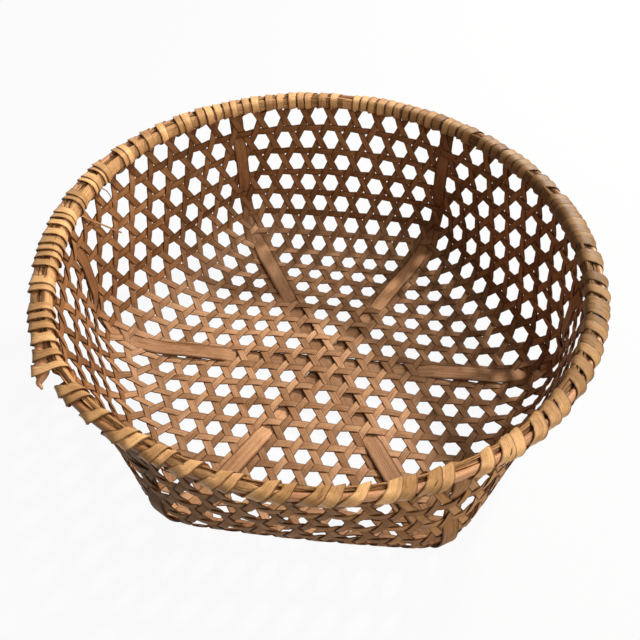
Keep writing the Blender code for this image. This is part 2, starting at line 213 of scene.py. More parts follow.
# Where the turns of the binding cross the top of the rim, in cells clockwise from the middle of the far side
TURN_CELLS = (
    0.3, 0.65, 1.0, 1.35, 1.75, 2.1, 2.45, 2.8, 3.15, 3.5, 3.85, 4.2, 4.6, 4.9, 5.3, 5.6,
    6.3, 6.6, 6.95, 7.4, 7.75, 8.1, 8.45, 9.15, 9.5, 10.35, 10.6, 10.85, 11.05, 11.3, 11.6, 11.95,
    12.25, 12.5, 13.15, 13.35, 14.2, 14.8, 15.3, 15.6, 16.1, 16.35, 16.95, 17.3, 17.9, 18.45, 19.35, 19.8,
    20.4, 21.2, 21.5, 22.15, 23.3, 23.6, 24.25, 24.6, 25.4, 26.0, 26.35, 27.1, 27.55, 28.4, 28.7, 29.5,
    30.15, 30.4, 31.05, 31.4, 32.3, 33.1, 33.4, 34.35, 34.8, 35.35, 35.8, 36.15, 36.5, 37.3, 37.6, 38.3,
    38.65, 39.0, 39.3, 39.7, 40.15, 40.45, 40.75, 41.4, 41.65, 42.4, 42.65, 43.05, 43.3, 44.3, 44.55, 45.1,
    45.7, 46.4, 47.2, 47.5, 48.15, 48.45, 48.85, 49.25, 49.55, 50.05, 50.45, 51.05, 51.55, 52.0, 52.35, 52.7,
    53.3, 53.75,
)
BINDING_SPLINTS = 6
SECTION_POWER = 0.70
# Turns of the binding: places on each, slant in cells and its spread, share of the slant at the start, shares
# of a turn for the climb and for moving on below, looseness, and changes of width
TURN_PLACES = 48
SLANT_CELLS = (0.40, 0.62)
SLANT_SPREAD = (0.8, 1.25)
SLANT_START = 0.7
CLIMB_END = 0.66
MOVE_ON_START = 0.80
MOVE_ON_SHARE = 0.20
LOOSENESS = 0.0015
BINDING_WIDTH_CHANGE = 0.20
BINDING_MEAN_WIDTH = 0.89
BINDING_NEAR_WIDENING = 0.09
BINDING_TILT = 0.0019
BINDING_CROWN = 0.0002

# Start of the random numbers of each kind of piece
SPLINT_SEED = 1000
HOOP_SEED = 4000
SLAT_SEED = 5000
FILLER_SEED = 6000
INNER_CANE_SEED = 6100
OUTER_CANE_SEED = 6200
FILLER_SIZES_SEED = 6500
BINDING_SEED = 7500

# Tints that the colours of the bamboo are multiplied by, and the colour of worn places
DARK_TINT = (0.50, 0.40, 0.32, 1)
# Dark edges: partly dirt on the split edges and partly painted shade on the side faces and on slats under the
# weave
EDGE_DIRT_AND_SHADE_TINT = (0.20, 0.15, 0.11, 1)
# Painted shadow on the inner faces towards the far right, where the walls shade the base
FAR_RIGHT_SHADOW_TINT = (0.70, 0.66, 0.61, 1)
# Painted shade on the rim's filler splints, inner cane, leaves and binding towards the far right
RIM_SHADE_TINT = (0.42, 0.41, 0.39, 1)
# Painted shade on the outer faces at the left and painted light at the right
OUTSIDE_LEFT_SHADE_TINT = (0.50, 0.50, 0.50, 1)
OUTSIDE_RIGHT_LIGHT_TINT = (1.38, 1.36, 1.34, 1)
# Painted shade round the edge of the base, where it meets the wall
BASE_EDGE_SHADE_TINT = (0.82, 0.82, 0.82, 1)
# Painted light on the inner face of the right wall
RIGHT_WALL_LIGHT_TINT = (1.32, 1.34, 1.36, 1)
# Slow random tone, whose pale side is partly a painted sheen
TONE_AND_SHEEN_TINTS = ((0.70, 0.66, 0.62, 1), (1.26, 1.30, 1.38, 1))
FIBRE_TINTS = ((0.86, 0.84, 0.82, 1), (1.12, 1.12, 1.12, 1))
WORN_COLOUR = (0.44, 0.25, 0.15, 1)
# Spans in metres over which a colour changes: up the wall, out from the axis, to the right, and to the right
# with a share of the way to the far side
WALL_SPAN = (0.0, 0.10)
BASE_EDGE_SHADE_SPAN = (0.10, 0.18)
RIGHT_WALL_LIGHT_SPAN = (0.12, 0.22)
OUTSIDE_SPAN = (-0.20, 0.20)
FAR_RIGHT_SHADOW_SPAN = (-0.01, 0.17)
FAR_RIGHT_SHADOW_SHARE = 0.7
RIM_SHADE_SPAN = (0.05, 0.25)
RIM_SHADE_FAR_SHARE = 0.4
# Noise on the grain map: scale along and across, detail, roughness and place, with the tone's scale left out
WEAR = ((30, 60), 3, 0.6, 4.7)
THREADS = ((7, 850), 3, 0.6, 7.7)
BLOTCHES = ((36, 130), 3, 0.65, 11.3)
SPECKS = ((420, 700), 2, 0.6, 5.3)
FIBRES = ((16, 2200), 3, 0.6, 3.1)
TONE = (1, 0.5, 1.9)
TONE_ACROSS = 1.3
# Spans of noise that take effect, and their strengths
WEAR_SPAN = (0.52, 0.64)
WEAR_STRENGTH = 0.55
TONE_SPAN = (0.32, 0.68)
BLOTCH_SPAN = (0.48, 0.75)
BLOTCH_STRENGTH = 0.6
THREAD_SPAN = (0.46, 0.72)
SPECK_SPAN = (0.46, 0.75)
SPECK_STRENGTH = 0.4
FIBRE_SPAN = (0.35, 0.65)
GLOSS_SPAN = (0.3, 0.7)
GLOSS_CHANGES = (-0.08, 0.10)
EDGE_DIRT_AND_SHADE_SPAN = (0.70, 1.0)
EDGE_DIRT_AND_SHADE = 0.85
FIBRE_RELIEF = 0.0004

# Camera, floor, world and lamps. Each lamp has a name, place, aim, size, power and colour.
CAMERA_PLACE = (0.0311, -0.4458, 0.5940)
CAMERA_TURN = (40.962, -0.497, 5.610)
CAMERA_LENS = 36.0
CAMERA_SENSOR = 36
FLOOR_SIZE = 16.0
FLOOR_COLOUR = (0.6, 0.6, 0.6, 1)
FLOOR_ROUGHNESS = 0.9
FLOOR_SHOWN_WHITE = 0.93
WORLD_COLOUR = (1.0, 0.99, 0.97, 1)
WORLD_STRENGTH = 0.075
WHITE = (1, 1, 1, 1)
LAMPS = (
    ("back light", (0.95, 1.25, 1.50), (0, 0, 0.08), 0.22, 46, (1.0, 0.98, 0.95)),
    ("high light", (0.90, -0.10, 1.9), (0, 0, 0.08), 0.8, 10, (1.0, 0.98, 0.95)),
    ("fill light", (1.25, -1.15, 1.35), (0, 0, 0.1), 1.0, 13, (1.0, 0.99, 0.98)),
)


def ramp(x):
    """The number, kept between 0 and 1."""
    return np.clip(x, 0, 1)


def smooth(x):
    """Smooth ramp from 0 to 1: 3x squared less 2x cubed, flat outside."""
    x = ramp(x)
    return x * x * (3 - 2 * x)


def over_rings(ring, start, count):
    """Smooth ramp that goes from 0 to 1 over a number of rings, from the start ring on."""
    return smooth((ring - start) / count)


def cells_in_side(ring):
    """Cells along one side of a ring: the ring's own number on the base, and constant up the wall."""
    past = np.clip(ring - SPLINTS_PER_SIDE + COUNT_BLEND_ROWS, 0, 2 * COUNT_BLEND_ROWS)
    beyond = np.maximum(ring - SPLINTS_PER_SIDE - COUNT_BLEND_ROWS, 0)
    return ring - past**2 / (4 * COUNT_BLEND_ROWS) - beyond


def ring_of_row(row):
    """Ring on which the straight run of a splint lies, so that it meets its own ends at the corners."""
    past = row - SPLINTS_PER_SIDE + COUNT_BLEND_ROWS
    if past <= 0:
        return row
    reach = 4 * COUNT_BLEND_ROWS
    return row - past + reach - math.sqrt(reach**2 - 2 * reach * past)


def profile(ring):
    """Distance of a side's middle from the axis, and height: a flat base, an arc and a straight wall."""
    past = np.clip(ring - BEND_START_RING, 0, SPACING_BLEND_ROWS)
    beyond = np.maximum(ring - BEND_START_RING - SPACING_BLEND_ROWS, 0)
    stretched = past**2 / (2 * SPACING_BLEND_ROWS) + beyond
    length = ROW_SPACING * ring + (WALL_ROW_HEIGHT - ROW_SPACING) * stretched
    flat = ROW_SPACING * BEND_START_RING
    turned = np.clip((length - flat) / BEND_RADIUS, 0, WALL_ANGLE)
    straight = np.maximum(length - flat - BEND_RADIUS * WALL_ANGLE, 0)
    across = np.minimum(length, flat) + BEND_RADIUS * np.sin(turned) + straight * math.cos(WALL_ANGLE)
    height = BEND_RADIUS * (1 - np.cos(turned)) + straight * math.sin(WALL_ANGLE)
    return across, height


def outline(side, ring):
    """Unit outline of a ring: a hexagon on the base, with rounded corners, that becomes a circle."""
    middle = np.round(side)
    along = (side - middle)[..., None]
    angle = (math.pi / 2 - SIDE_ANGLE * middle)[..., None]
    out = np.concatenate([np.cos(angle), np.sin(angle)], -1)
    clockwise = np.concatenate([np.sin(angle), -np.cos(angle)], -1)
    side_length = 2 * math.tan(SIDE_ANGLE / 2)
    grown = ramp((ring - BEND_START_RING) / CORNER_BLEND_ROWS)[..., None]
    reach = CORNER_RADIUS * SIDE_ANGLE / 2 / (PITCH * SPLINTS_PER_SIDE) * grown + TINY
    into = np.maximum(reach - (0.5 - np.abs(along)), 0)
    corner = angle - np.sign(along) * SIDE_ANGLE / 2
    inward = -np.concatenate([np.cos(corner), np.sin(corner)], -1)
    hexagon = out + side_length * along * clockwise + side_length * into**2 / (4 * reach) * inward
    circle = np.cos(SIDE_ANGLE * along) * out + np.sin(SIDE_ANGLE * along) * clockwise
    roundness = ramp((ring - SPLINTS_PER_SIDE) / HEXAGON_TO_ROUND_ROWS)[..., None]
    return (1 - roundness) * hexagon + roundness * circle


def surface(ring, side):
    """Points of the outer face of the weave, with the rim a little to one side and lower on the other."""
    across, height = profile(ring)
    around = np.abs((side - BULGE_CELL / SPLINTS_PER_SIDE + SIDES / 2) % SIDES - SIDES / 2) * SPLINTS_PER_SIDE
    raised = over_rings(ring, BULGE_START_RING, RIM_RING - BULGE_START_RING)
    bulge = BULGE_SIZE * smooth(1 - around / BULGE_CELLS) * raised
    flat = outline(side, ring) * (across + bulge)[..., None]
    rise = height / profile(np.array([RIM_RING]))[1][0]
    x = flat[..., 0] + RIM_SIDE_SHIFT * rise
    z = height + RIM_SIDE_SLOPE * rise * flat[..., 0]
    return np.stack([x, flat[..., 1], z], -1)


def frame_at(ring, side):
    """The two surface directions for each ring and side number, and the outward normal."""
    step = 1e-4
    by_ring = (surface(ring + step, side) - surface(ring - step, side)) / (2 * step)
    by_side = (surface(ring, side + step) - surface(ring, side - step)) / (2 * step)
    normal = np.cross(by_ring, by_side)
    return by_ring, by_side, normal / np.linalg.norm(normal, axis=-1)[..., None]


def unit(vectors):
    """Each vector over its own length."""
    return vectors / np.maximum(np.linalg.norm(vectors, axis=-1), TINY)[..., None]


def dot(a, b):
    """Dot products of two arrays of vectors."""
    return (a * b).sum(-1)


def middle_depth(ring):
    """Depth of the weave's middle below the surface: crowned over the slats at the centre of the base."""
    crown = CROWN_RISE * (1 - over_rings(ring, *CROWN_RINGS))
    over_slat = SLAT_RISE * (1 - over_rings(ring, *SLAT_RISE_RINGS))
    wall = (WALL_MIDDLE_DEPTH - BASE_MIDDLE_DEPTH) * over_rings(ring, *WALL_DEPTH_RINGS)
    return BASE_MIDDLE_DEPTH + crown + over_slat + wall


def line_distance(coordinate):
    """Distance to the nearest half-integer, where the lines of one direction of the weave lie."""
    return np.abs(coordinate - np.floor(coordinate) - 0.5)


def weave_sign(ring, side, family, lean):
    """Side of the weave on which a strip lies, from -1 (outside) to 1 (inside).

    Each place has a coordinate for each of the three directions: the ring number A, and B and C, which are
    half the ring number plus and less the cells along the side. Every strip lies inside the next direction
    in turn and outside the one before. The sign is the difference of the squared distances to the two
    crossing lines over their sum, sharpened by (3x - x cubed) / 2.
    """
    sector = np.round(side)
    along = (side - sector) * cells_in_side(ring)
    coordinates = np.stack([ring, ring / 2 + along, ring / 2 - along])
    role = np.where(ring > SPLINTS_PER_SIDE, lean, (family - sector).astype(int) % 3)
    inner = np.take_along_axis(coordinates, ((role + 1) % 3)[None], 0)[0]
    outer = np.take_along_axis(coordinates, ((role + 2) % 3)[None], 0)[0]
    near = line_distance(inner) ** 2
    far = line_distance(outer) ** 2
    x = (far - near) / (far + near + TINY)
    return (3 * x - x**3) / 2


def travelled(points):
    """Distance along a line of points, from the first to each."""
    steps = np.linalg.norm(np.diff(points, axis=0), axis=-1)
    return np.concatenate([[0], np.cumsum(steps)])


def even_path(values, step):
    """The path's ring and side numbers at even steps of its length on the surface."""
    length = travelled(surface(values[0], values[1]))
    places = np.linspace(0, length[-1], int(length[-1] / step) + 1)
    return np.stack([np.interp(places, length, row) for row in values])


def eased(values, reach):
    """The path with each value replaced by the mean of those up to reach places to both sides."""
    count = values.shape[1]
    ends = np.minimum(np.arange(count), np.arange(count)[::-1])
    half = np.minimum(ends, reach)
    totals = np.concatenate([np.zeros((len(values), 1)), np.cumsum(values, axis=1)], axis=1)
    low = np.arange(count) - half
    high = np.arange(count) + half + 1
    return (totals[:, high] - totals[:, low]) / (high - low)


def slow_waves(rng, along, wavelength, count=4):
    """Smooth random wander along a strip: a sum of sines with random phases, about 1 at its peaks."""
    places = np.linspace(0, along[-1], max(int(along[-1] / STATION_STEP) + 1, 2))
    wave = np.zeros_like(places)
    for number in range(count):
        frequency = rng.uniform(*WAVE_SPREAD) * (number + 1) / count / wavelength
        wave += np.sin(math.tau * (places * frequency + rng.uniform())) / count
    return np.interp(along, places, wave)


def wave_round(rng, side, reach, cycles):
    """A sine round the basket, with a whole number of cycles and a random phase."""
    return reach * np.sin(math.tau * (cycles * side / SIDES + rng.uniform()))


def waves_round(rng, side, reach, cycles):
    """Small random waves round the rim: the mean of sines with whole numbers of cycles."""
    return sum(wave_round(rng, side, reach, number) / len(cycles) for number in cycles)


def strip_section(shares, edge_lift):
    """Loop of (lateral share, lift share) round a flat strip with rounded edges."""
    lifts = [edge_lift if abs(share) == max(shares) else 0.5 for share in shares]
    inner = list(zip(shares, lifts))
    outer = [(share, -lift) for share, lift in inner[::-1]]
    return np.array(inner + outer)


# Section of every flat strip. For each of its places: 1 on the outer face, and the nearness to an edge.
STRIP = strip_section(LATERAL_SHARES, EDGE_LIFT)
STRIP_OUTER = (STRIP[:, 1] > 0).astype(float)
STRIP_EDGE = np.abs(2 * STRIP[:, 0])


def place_across(ring, side, lateral):
    """Ring and side numbers of points a lateral distance off each place of a path, by Newton's steps.

    Lateral is positive to the right of the path, seen from inside the basket. The arrays that come back
    have a row for each place and a column for each lateral distance.
    """
    centre = surface(ring, side)
    normal = frame_at(ring, side)[2]
    sideways = unit(np.cross(normal, np.gradient(centre, axis=0)))
    target = centre[:, None] + lateral[..., None] * sideways[:, None]
    at_ring = np.repeat(ring[:, None], lateral.shape[1], 1)
    at_side = np.repeat(side[:, None], lateral.shape[1], 1)
    for _ in range(PLACING_ROUNDS):
        by_ring, by_side, _ = frame_at(at_ring, at_side)
        move = target - surface(at_ring, at_side)
        a, b, c = dot(by_ring, by_ring), dot(by_ring, by_side), dot(by_side, by_side)
        p, q = dot(by_ring, move), dot(by_side, move)
        area = a * c - b * b
        at_ring = at_ring + (c * p - b * q) / area
        at_side = at_side + (a * q - b * p) / area
    return at_ring, at_side


def tube_mesh(name, points, along, across, outer, edge, ring_closed=False):
    """Mesh over an array of points (stations, section places, xyz), closed round the section.

    A ring is closed along its length too, and any other strip is capped. The grain map holds the distances
    along and across in metres. The attribute outer is 1 on the outer face and 0 on the inner, and the
    attribute edge grows from 0 in the middle of a strip to 1 at its edges.
    """
    stations, places = points.shape[:2]
    quads = stations if ring_closed else stations - 1
    i = np.repeat(np.arange(quads), places)
    j = np.tile(np.arange(places), quads)
    here = i * places
    following = (i + 1) % stations * places
    beside = (j + 1) % places
    corners = np.stack([here + j, here + beside, following + beside, following + j], 1)
    flat = points.reshape(-1, 3)
    first, second, third, fourth = flat[corners.T]
    volume = dot(first, np.cross(second, third)) + dot(first, np.cross(third, fourth))
    u = np.stack([along[i], along[i], along[i + 1], along[i + 1]], 1)
    v = np.stack([across[j], across[beside], across[beside], across[j]], 1)
    loops = corners.reshape(-1)
    grain = np.stack([u.reshape(-1), v.reshape(-1)], 1)
    sizes = np.full(len(corners), 4)
    if not ring_closed:
        last = (stations - 1) * places
        caps = np.concatenate([np.arange(places)[::-1], last + np.arange(places)])
        loops = np.concatenate([loops, caps])
        cap_along = np.repeat([along[0], along[stations - 1]], places)
        cap_across = np.concatenate([across[::-1], across])
        grain = np.concatenate([grain, np.stack([cap_along, cap_across], 1)])
        sizes = np.concatenate([sizes, [places, places]])
    starts = np.concatenate([[0], np.cumsum(sizes)[:-1]])
    if volume.sum() < 0:
        turned_round = np.repeat(2 * starts + sizes - 1, sizes) - np.arange(len(loops))
        loops = loops[turned_round]
        grain = grain[turned_round]
    mesh = bpy.data.meshes.new(name)
    mesh.vertices.add(len(flat))
    mesh.vertices.foreach_set("co", flat.reshape(-1).astype(np.float32))
    mesh.loops.add(len(loops))
    mesh.loops.foreach_set("vertex_index", loops.astype(np.int32))
    mesh.polygons.add(len(sizes))
    mesh.polygons.foreach_set("loop_start", starts.astype(np.int32))
    mesh.update(calc_edges=True)
    mesh.uv_layers.new(name="grain").data.foreach_set("uv", grain.reshape(-1).astype(np.float32))
    for label, values in (("outer", outer), ("edge", edge)):
        attribute = mesh.attributes.new(label, "FLOAT", "POINT")
        spread = np.broadcast_to(values, (stations, places))
        attribute.data.foreach_set("value", spread.reshape(-1).astype(np.float32))
    mesh.shade_smooth()
    mesh.set_sharp_from_angle(angle=SHARP_ANGLE)
    return mesh


def add_piece(name, mesh, material, slot, *nodes):
    """A piece in place, riding on the basket and standing for the solids that are named."""
    piece = bpy.data.objects.new(name, mesh)
    bpy.context.scene.collection.objects.link(piece)
    mesh.materials.append(material)
    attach(piece, "root")
    if nodes:
        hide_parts(*nodes)
    return piece


def strip_points(ring, side, width, thickness, depth, wander=0.0):
    """Points of a flat strip that follows a path on the surface, and its distances along and across.

    Width and wander may change along the path. Depth gives the depth of the strip's middle below the surface
    for the ring and side numbers of each point across it.
    """
    width = np.broadcast_to(width, ring.shape)
    lateral = width[:, None] * STRIP[:, 0] + np.broadcast_to(wander, ring.shape)[:, None]
    at_ring, at_side = place_across(ring, side, lateral)
    lift = STRIP[:, 1] * thickness - depth(at_ring, at_side)
    points = surface(at_ring, at_side) + frame_at(at_ring, at_side)[2] * lift[..., None]
    return points, travelled(surface(ring, side)), STRIP[:, 0] * width.mean()


def weave_depth(family, lean, amplitude):
    """Depth of a woven strip's middle: the weave's, more or less by the amplitude at the crossings."""
    return lambda ring, side: middle_depth(ring) + amplitude * weave_sign(ring, side, family, lean)


def splint_path(direction, row):
    """Ring and side numbers along one splint: down one wall, straight over the base and up another."""
    first = max(ring_of_row(row), BEND_START_RING)
    leg = np.linspace(first, SPLINT_END_RING, LEG_PLACES)
    shift = (leg / 2 - row) / cells_in_side(leg)
    if row > BEND_START_RING:
        run = np.linspace(direction - 0.5, direction + 0.5, RUN_PLACES)[1:-1]
        middle = np.stack([np.full(len(run), first), run])
    else:
        inner = np.linspace(BEND_START_RING, row, RUN_PLACES)[1:]
        inner_shift = (inner / 2 - row) / inner
        run = np.linspace(direction - 0.5, direction + 0.5, RUN_PLACES // 2 + 1)[1:-1]
        middle = np.concatenate([
            np.stack([inner, direction - 1 - inner_shift]),
            np.stack([np.full(len(run), row), run]),
            np.stack([inner[::-1], direction + 1 + inner_shift[::-1]]),
        ], 1)
    down = np.stack([leg, direction - 1 - shift])[:, ::-1]
    up = np.stack([leg, direction + 1 + shift])
    path = even_path(np.concatenate([down, middle, up], 1), STATION_STEP / 2)
    if row > BEND_START_RING:
        path = eased(path, round(BEND_EASING / (STATION_STEP / 2)))
    return path[:, ::2]


def splint_lean(path):
    """Role of a splint on the wall: the first leg, going down, leans anticlockwise and the last clockwise."""
    places = np.arange(path.shape[1])
    lowest = np.argmin(path[0])
    return np.where(places < lowest, 1, 2)


def make_splint(name, direction, row, sizes, material, node):
    """One splint of the weave, with its own slight changes of width and place."""
    path = splint_path(direction, row)
    rng = np.random.default_rng(SPLINT_SEED + 100 * direction + int(row))
    length = travelled(surface(*path))
    wander = slow_waves(rng, length, WANDER_WAVELENGTH) * sizes.splint_wander
    wave = slow_waves(rng, length, WIDTH_WAVELENGTH)
    width = sizes.splint_width * (1 + rng.uniform(-WIDTH_CHANGE, WIDTH_CHANGE) + WIDTH_CHANGE * wave)
    width = width * (1 - sizes.splint_taper * over_rings(path[0], *TAPER_RINGS))
    depth = weave_depth(direction % 3, splint_lean(path)[:, None], sizes.weave_amplitude)
    points, along, across = strip_points(*path, width, sizes.splint_thickness, depth, wander)
    offset = rng.uniform(0, GRAIN_SPREAD)
    mesh = tube_mesh(name, points, along + offset, across + offset, STRIP_OUTER, STRIP_EDGE)
    return add_piece(name, mesh, material, "splint", node)


def make_hoop(number, sizes, material):
    """One hoop, woven inside the strips that lean anticlockwise and outside those that lean clockwise."""
    rng = np.random.default_rng(HOOP_SEED + number)
    side = np.linspace(0, SIDES, HOOP_PLACES + 1)
    ring = np.full(len(side), SPLINTS_PER_SIDE + number + 0.5)
    wander = sum(wave_round(rng, side, *wave) for wave in HOOP_WAVES)
    width = sizes.hoop_width * (1 + wave_round(rng, side, *HOOP_WIDTH_WAVE))
    depth = weave_depth(0, 0, sizes.weave_amplitude)
    points, along, across = strip_points(ring, side, width, sizes.splint_thickness, depth, wander)
    offset = rng.uniform(0, GRAIN_SPREAD)
    name = f"hoop_{number + 1}"
    points = points[:-1]
    mesh = tube_mesh(name, points, along + offset, across + offset, STRIP_OUTER, STRIP_EDGE, ring_closed=True)
    return add_piece(f"woven_{name}", mesh, material, "hoop", name)


def slat_depth(ring, order, sizes):
    """Depth of a slat below the surface: stacked under the weave, then in and out through the cells."""
    gap = sizes.weave_amplitude + sizes.splint_thickness / 2 + sizes.slat_thickness / 2 + SLAT_GAP
    inside = np.zeros_like(ring)
    for change_ring, way in SLAT_CHANGES:
        inside = inside + way * smooth((ring - change_ring) / (2 * SLAT_CHANGE_REACH) + 0.5)
    raised = order * (1 - over_rings(ring, *STACK_RINGS))
    stacked = SLAT_GAP + sizes.slat_thickness * (raised + 0.5)
    first, second = SLAT_CHANGES[0][0], SLAT_CHANGES[1][0]
    bow = sizes.slat_bow * np.sin(math.pi * ramp((ring - first) / (second - first))) ** 2
    woven = middle_depth(ring) + gap * (2 * inside - 1) + bow
    free = smooth((ring - first) / (2 * SLAT_CHANGE_REACH) + 0.5)
    return stacked * (1 - free) + woven * free


def make_slat(name, corner, order, shift, sizes, material):
    """One slat from corner to corner through the middle of the base. Order counts from the lowest.

    The line runs down one corner of the wall and up the opposite one. Each place has a flat section square to
    it, moved to the right of the line by the shift.
    """
    rng = np.random.default_rng(SLAT_SEED + order)
    half = np.linspace(SLAT_START_RING, SPLINT_END_RING, SLAT_PLACES)
    ring = np.concatenate([half[::-1], half])
    side = np.repeat([corner, corner + SIDES / 2], len(half))
    centre = surface(ring, side)
    normal = frame_at(ring, side)[2]
    sideways = unit(np.cross(normal, np.gradient(centre, axis=0)))
    along = travelled(centre)
    phase = rng.uniform(0, 6)
    width = sizes.slat_width * (1 + SLAT_WIDTH_CHANGE * np.sin(along * SLAT_WIDTH_TURN + phase))
    width = width * (1 - sizes.slat_taper * over_rings(ring, *SLAT_TAPER_RINGS))
    lift = STRIP[:, 1] * sizes.slat_thickness - slat_depth(ring, order, sizes)[:, None]
    lateral = shift + width[:, None] * STRIP[:, 0]
    points = centre[:, None] + sideways[:, None] * lateral[..., None] + normal[:, None] * lift[..., None]
    # Painted shade on the slats where the weave covers them, carried by the edge value
    covered_shade = (COVERED_SHADE - COVERED_SHADE_STEP * order) * (1 - over_rings(ring, *COVERED_SHADE_RINGS))
    edge = np.maximum(STRIP_EDGE, covered_shade[:, None])
    across = STRIP[:, 0] * sizes.slat_width + order
    mesh = tube_mesh(name, points, along + 3 * order, across, STRIP_OUTER, edge)
    return add_piece(f"woven_{name}", mesh, material, "slat", name)


def round_rim(values, side):
    """Value for each side number, from values given at even steps round the rim, eased between them."""
    places = np.arange(len(values)) * SIDES / len(values)
    total = sum(np.interp(side + shift, places, values, period=SIDES) for shift in RIM_EASING_SHIFTS)
    return total / len(RIM_EASING_SHIFTS)


def spring(side):
    """How far the broken end of the outer cane stands off the rim, from nothing to the most at its tip."""
    cell = side % SIDES * SPLINTS_PER_SIDE
    grown = ramp((SPRING_START_CELL - cell) / (SPRING_START_CELL - BREAK_CELL)) ** SPRING_CURVE
    return SPRING_SIZE * np.where(cell < BREAK_CELL, 0, grown)


def rim_directions(side):
    """Outward and upward unit vectors of the rim at each side number."""
    by_ring, _, normal = frame_at(np.full(np.shape(side), RIM_RING), side)
    return normal, unit(by_ring)


def rim_place(side, across, up):
    """Points at distances out and up from the middle of the rim's section, for arrays of side numbers.

    The section shrinks by the rim's share of its largest width towards its outer edge. By the share of its
    height it shrinks towards its top on the far side, and towards just below its middle on the near side. Its
    outer side follows the sprung cane.
    """
    still = RIM_HALF_HEIGHT * np.maximum(np.cos(math.tau * side / SIDES), LOWEST_STILL_LEVEL)
    out = RIM_OUTER_EDGE + (across - RIM_OUTER_EDGE) * round_rim(RIM_WIDTHS, side)
    held = smooth((side % SIDES * SPLINTS_PER_SIDE - BREAK_CELL) / BREAK_EASING_CELLS)
    outer_share = ramp((across - RIM_INNER_EDGE) / (RIM_OUTER_EDGE - RIM_INNER_EDGE))
    out = out + spring(side) * held * outer_share**2
    rise = still + (up - still) * round_rim(RIM_HEIGHTS, side)
    normal, upward = rim_directions(side)
    on_rim = surface(np.full(np.shape(side), RIM_RING), side)
    return on_rim + normal * out[..., None] + upward * rise[..., None]


def half_round(places=14):
    """Section of a split cane: (depth from its round face, height), each as a share of its size."""
    angle = np.linspace(-math.pi / 2, math.pi / 2, places)
    curve = np.stack([1 - np.cos(angle) ** HALF_ROUND_POWER, np.sin(angle) / 2], 1)
    return np.concatenate([curve, [[1, HALF_ROUND_FLAT], [1, -HALF_ROUND_FLAT]]])


def make_outer_cane(sizes, material):
    """Stout round cane at the top of the rim, outside the wall, about as thick all round but for its tip."""
    rng = np.random.default_rng(OUTER_CANE_SEED)
    goes_on = SIDES + CANE_GOES_ON_CELL / SPLINTS_PER_SIDE
    side = np.linspace(BREAK_CELL / SPLINTS_PER_SIDE, goes_on, OUTER_CANE_PLACES)
    angle = np.linspace(0, math.tau, OUTER_CANE_FACETS + 1)[:-1]
    wide = round_rim(RIM_WIDTHS, side)[:, None]
    high = round_rim(RIM_HEIGHTS, side)[:, None]
    from_tip = (side[:, None] - side[0]) * SPLINTS_PER_SIDE
    tip = TIP_SHARE + (1 - TIP_SHARE) * ramp(from_tip / TIP_CELLS)
    thick = sizes.outer_cane_thickness / 2 * (1 + waves_round(rng, side, *OUTER_CANE_WAVES)[:, None])
    coming_off = np.where(from_tip < 1, 1 - smooth(from_tip / BREAK_EASING_CELLS), 0)
    loose = LOOSE_TIP_SHARE * spring(side)[:, None] * coming_off
    across = RIM_OUTER_EDGE - CANE_SINK / wide + thick / wide * (tip * np.cos(angle) - 1) + loose / wide
    up = RIM_HALF_HEIGHT - CANE_SINK / high + sizes.outer_cane_height / 2 / high * (tip * np.sin(angle) - 1)
    points = rim_place(np.repeat(side[:, None], len(angle), 1), across, up)
    mesh = tube_mesh("rim_outer_cane", points, travelled(points[:, 0]), angle * OUTER_CANE_GRAIN, 0.0, 0.0)
    return add_piece("rim_outer_cane", mesh, material, "rim_outer", "rim_outer_ring")


def make_inner_cane(sizes, material):
    """Thin split cane inside the wall, flat to it."""
    rng = np.random.default_rng(INNER_CANE_SEED)
    side = np.linspace(0, SIDES, INNER_CANE_PLACES)
    section = half_round()
    across = RIM_INNER_EDGE + CANE_SINK + sizes.inner_cane_thickness * section[:, 0]
    across = across + waves_round(rng, side, *INNER_CANE_WAVES)[:, None]
    up = sizes.cane_height * section[:, 1] + waves_round(rng, side, *INNER_CANE_RISES)[:, None]
    points = rim_place(np.repeat(side[:, None], len(section), 1), across, up)
    along = travelled(points[:, 0])
    girth = travelled(section) * INNER_CANE_GRAIN
    mesh = tube_mesh("rim_inner_cane", points[:-1], along, girth, 0.0, 0.0, ring_closed=True)
    return add_piece("rim_inner_cane", mesh, material, "rim_inner", "rim_inner_ring")


def make_filler_splint(number, share, width, tilt, sizes, material):
    """One of the splints bundled on top between the canes: flat, wavy and a little apart from the next."""
    rng = np.random.default_rng(FILLER_SEED + number)
    side = np.linspace(0, SIDES, FILLER_PLACES)
    inner = RIM_INNER_EDGE + CANE_SINK + sizes.inner_cane_thickness
    wide = round_rim(RIM_WIDTHS, side)
    outer = RIM_OUTER_EDGE - (CANE_SINK + sizes.outer_cane_thickness) / wide
    across = inner + (outer - inner) * FILLER_SPAN * share + waves_round(rng, side, *FILLER_WAVES)
    up = FILLER_HEIGHT - FILLER_FALL * (1 - wide) * share + waves_round(rng, side, *FILLER_RISES)
    lean = (tilt + waves_round(rng, side, *FILLER_LEANS))[:, None]
    flat = strip_section(FILLER_SHARES, FILLER_EDGE_LIFT) * np.array([width, FILLER_THICKNESS])
    outs = flat[:, 0] * np.cos(lean) - flat[:, 1] * np.sin(lean)
    ups = flat[:, 0] * np.sin(lean) + flat[:, 1] * np.cos(lean)
    around = np.repeat(side[:, None], len(flat), 1)
    points = rim_place(around, across[:, None] + outs, up[:, None] + ups)
    along = travelled(points[:, 0]) + rng.uniform(0, GRAIN_SPREAD)
    name = f"rim_filler_splint_{number + 1}"
    edge = np.abs(2 * flat[:, 0] / width)
    mesh = tube_mesh(name, points[:-1], along, flat[:, 0] + number, 0.0, edge, ring_closed=True)
    return add_piece(name, mesh, material, "rim_filler", "rim_filler_cane")


